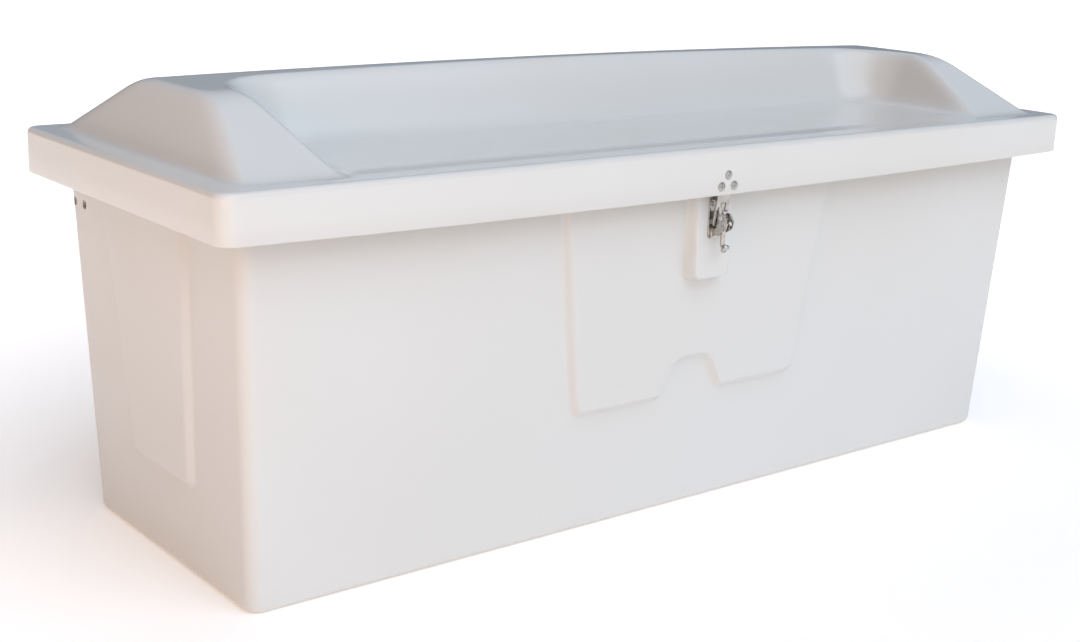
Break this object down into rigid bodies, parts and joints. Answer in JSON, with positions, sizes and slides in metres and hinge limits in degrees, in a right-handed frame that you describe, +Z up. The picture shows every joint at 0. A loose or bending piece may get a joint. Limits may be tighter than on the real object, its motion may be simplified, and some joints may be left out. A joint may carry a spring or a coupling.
{
  "type": "dock box with seat-top lid",
  "caption": "Long moulded fibreglass dock box with tapered walls, a hinged seat-top lid with raised back and arm rests, a lever latch and gas stays.",
  "frame": {"origin": "middle of the flat underside of the tub, on the surface that it stands on", "axes": "+X along the length, +Y from the latch side to the hinge side, +Z up"},
  "size_m": [1.83, 0.6847, 0.75],
  "materials": {
    "gelcoat": "glossy moulded gelcoat over glass-fibre laminate",
    "rubber": "extruded sponge rubber",
    "stainless": "stamped stainless steel, polished",
    "polished_rod": "ground and polished rod",
    "black_paint": "black baked paint",
    "balsa": "end-grain core panel, resin sealed"
  },
  "bodies": {
    "tub": {"tub_shell": "gelcoat", "rim_gasket": "rubber", "tub_hinge_leaf": "stainless", "hinge_pin": "polished_rod", "tub_hinge_rivets": "stainless", "catch_base": "stainless", "catch_rivets": "stainless", "catch_backing_plate": "stainless", "lever_pin": "polished_rod", "stay_wall_brackets": "stainless", "stay_wall_bolts": "stainless"},
    "lid": {"lid_shell": "gelcoat", "seat_core": "balsa", "lid_hinge_leaf": "stainless", "lid_hinge_rivets": "stainless", "strap": "stainless", "strap_rivets": "stainless", "stay_lid_brackets": "stainless", "stay_lid_screws": "stainless"},
    "lever": {"lever": "stainless"},
    "stay_left": {"stay_cylinder_left": "black_paint"},
    "rod_left": {"stay_rod_left": "polished_rod"},
    "stay_right": {"stay_cylinder_right": "black_paint"},
    "rod_right": {"stay_rod_right": "polished_rod"}
  },
  "joints": [
    {"name": "lid_hinge", "type": "hinge", "parent": "tub", "child": "lid", "pos_m": [0, 0.319, 0.565], "axis": [-1, 0, 0], "range_deg": [0, 78]},
    {"name": "lever_pivot", "type": "hinge", "parent": "tub", "child": "lever", "pos_m": [0, -0.34, 0.524], "axis": [-1, 0, 0], "range_deg": [0, 90]},
    {"name": "stay_left_swing", "type": "hinge", "parent": "tub", "child": "stay_left", "pos_m": [-0.69, 0.252, 0.33], "axis": [-1, 0, 0], "range_deg": [-1, 52.1]},
    {"name": "stay_left_stroke", "type": "slide", "parent": "stay_left", "child": "rod_left", "axis": [0, -0.7419, 0.6705], "range_m": [-0.001, 0.1969]},
    {"name": "stay_right_swing", "type": "hinge", "parent": "tub", "child": "stay_right", "pos_m": [0.69, 0.252, 0.33], "axis": [-1, 0, 0], "range_deg": [-1, 52.1]},
    {"name": "stay_right_stroke", "type": "slide", "parent": "stay_right", "child": "rod_right", "axis": [0, -0.7419, 0.6705], "range_m": [-0.001, 0.1969]}
  ],
  "couplings": [
    {"joint": "stay_left_swing", "follows": "lid_hinge", "ratio": 0.65473},
    {"joint": "stay_left_stroke", "follows": "lid_hinge", "m_per_rad": 0.14389},
    {"joint": "stay_right_swing", "follows": "lid_hinge", "ratio": 0.65473},
    {"joint": "stay_right_stroke", "follows": "lid_hinge", "m_per_rad": 0.14389}
  ]
}
